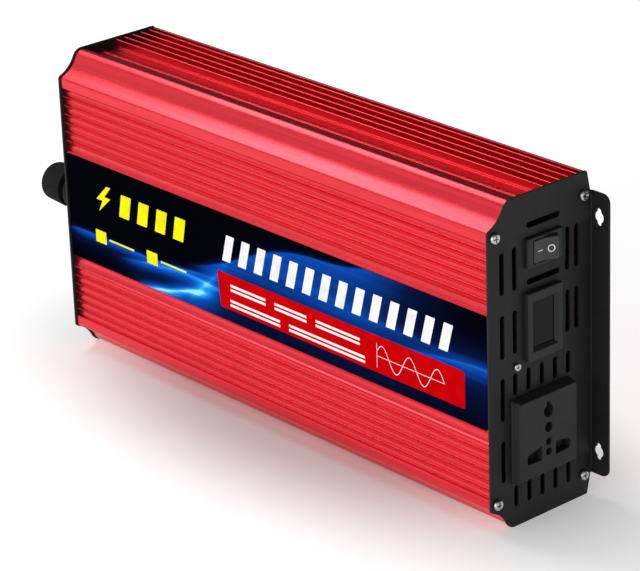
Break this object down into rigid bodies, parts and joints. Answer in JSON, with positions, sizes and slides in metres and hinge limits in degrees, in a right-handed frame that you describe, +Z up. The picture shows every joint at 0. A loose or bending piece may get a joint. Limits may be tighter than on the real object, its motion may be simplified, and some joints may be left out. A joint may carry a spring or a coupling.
{
  "type": "power inverter",
  "caption": "Wall-mountable DC to AC power inverter: fluted red aluminium case, black end plates, rocker switch, display, universal socket, cooling fans and screw-clamp battery terminals.",
  "frame": {"origin": "centre of the bottom of the part's box: midway between the knobs' ends and the AC flange's edge, at mid-depth, on the lower edges of the end plates", "axes": "+X towards the AC panel, +Y towards the mounting flanges at the back, +Z up; the label faces -Y"},
  "size_m": [0.3798, 0.072, 0.174],
  "materials": {
    "red_anodised": "satin red anodised extrusion",
    "label_film": "printed gloss film",
    "black_powder_coat": "matt black powder coat",
    "zinc_plate": "bright zinc plate",
    "switch_plastic": "satin moulded",
    "bezel_plastic": "satin moulded",
    "smoked_pane": "smoked, glossy",
    "socket_plastic": "satin moulded",
    "brass": "bare",
    "fan_plastic": "moulded",
    "terminal_black": "satin moulded",
    "terminal_red": "satin moulded",
    "circuit_board": "solder mask",
    "ferrite": "matt",
    "winding_tape": "polyester tape",
    "capacitor_sleeve": "shrink sleeve",
    "copper_wire": "enamelled copper",
    "transistor_plastic": "moulded"
  },
  "bodies": {
    "inverter": {"ac_end_plate": "black_powder_coat", "ac_plate_screw_1": "zinc_plate", "ac_plate_screw_2": "zinc_plate", "ac_plate_screw_3": "zinc_plate", "ac_plate_screw_4": "zinc_plate", "back_chassis": "red_anodised", "bus_capacitor_1": "capacitor_sleeve", "bus_capacitor_2": "capacitor_sleeve", "control_board": "circuit_board", "dc_end_plate": "black_powder_coat", "dc_plate_screw_1": "zinc_plate", "dc_plate_screw_2": "zinc_plate", "dc_plate_screw_3": "zinc_plate", "dc_plate_screw_4": "zinc_plate", "display_bezel": "bezel_plastic", "display_board": "circuit_board", "display_window": "smoked_pane", "fan_frame_lower": "fan_plastic", "fan_frame_upper": "fan_plastic", "fan_guard_lower": "zinc_plate", "fan_guard_upper": "zinc_plate", "fan_screw_lower_1": "zinc_plate", "fan_screw_lower_2": "zinc_plate", "fan_screw_lower_3": "zinc_plate", "fan_screw_lower_4": "zinc_plate", "fan_screw_upper_1": "zinc_plate", "fan_screw_upper_2": "zinc_plate", "fan_screw_upper_3": "zinc_plate", "fan_screw_upper_4": "zinc_plate", "front_cover": "red_anodised", "front_label": "label_film", "input_capacitor_1": "capacitor_sleeve", "input_capacitor_2": "capacitor_sleeve", "main_board": "circuit_board", "output_inductor": "copper_wire", "panel_screw": "zinc_plate", "socket_contact_earth": "brass", "socket_contact_line": "brass", "socket_contact_neutral": "brass", "socket_face": "socket_plastic", "socket_housing": "socket_plastic", "switch_housing": "switch_plastic", "terminal_collar_negative": "terminal_black", "terminal_collar_positive": "terminal_red", "terminal_stud_negative": "brass", "terminal_stud_positive": "brass", "transformer_core_1": "ferrite", "transformer_core_2": "ferrite", "transformer_winding_1": "winding_tape", "transformer_winding_2": "winding_tape", "transistor_row_lower": "transistor_plastic", "transistor_row_upper": "transistor_plastic"},
    "rocker": {"switch_rocker": "switch_plastic"},
    "fan_upper": {"fan_rotor_upper": "fan_plastic"},
    "fan_lower": {"fan_rotor_lower": "fan_plastic"},
    "negative_washer": {"terminal_washer_negative": "zinc_plate"},
    "positive_washer": {"terminal_washer_positive": "zinc_plate"},
    "negative_knob": {"terminal_knob_negative": "terminal_black"},
    "positive_knob": {"terminal_knob_positive": "terminal_red"},
    "shutter": {"socket_shutter": "socket_plastic"}
  },
  "joints": [
    {"name": "rocker_tilt", "type": "hinge", "parent": "inverter", "child": "rocker", "pos_m": [0.17705, 0.001, 0.14315], "axis": [0, 0, 1], "range_deg": [0, 26]},
    {"name": "fan_upper_spin", "type": "hinge", "parent": "inverter", "child": "fan_upper", "pos_m": [-0.14545, -0.0005, 0.133], "axis": [1, 0, 0], "continuous": true},
    {"name": "fan_lower_spin", "type": "hinge", "parent": "inverter", "child": "fan_lower", "pos_m": [-0.14545, -0.0005, 0.041], "axis": [1, 0, 0], "continuous": true},
    {"name": "negative_washer_travel", "type": "slide", "parent": "inverter", "child": "negative_washer", "axis": [-1, 0, 0], "range_m": [0, 0.0075]},
    {"name": "negative_knob_turn", "type": "hinge", "parent": "negative_washer", "child": "negative_knob", "pos_m": [-0.17645, -0.018, 0.087], "axis": [-1, 0, 0], "range_deg": [0, 2161]},
    {"name": "positive_washer_travel", "type": "slide", "parent": "inverter", "child": "positive_washer", "axis": [-1, 0, 0], "range_m": [0, 0.0075]},
    {"name": "positive_knob_turn", "type": "hinge", "parent": "positive_washer", "child": "positive_knob", "pos_m": [-0.17645, 0.017, 0.087], "axis": [-1, 0, 0], "range_deg": [0, 2161]},
    {"name": "shutter_slide", "type": "slide", "parent": "inverter", "child": "shutter", "axis": [0, 0, 1], "range_m": [0, 0.0092], "stiffness_N_per_m": 50, "springref_m": -0.004}
  ],
  "couplings": [
    {"joint": "negative_knob_turn", "follows": "negative_washer_travel", "rad_per_m": 5026.5},
    {"joint": "positive_knob_turn", "follows": "positive_washer_travel", "rad_per_m": 5026.5}
  ]
}
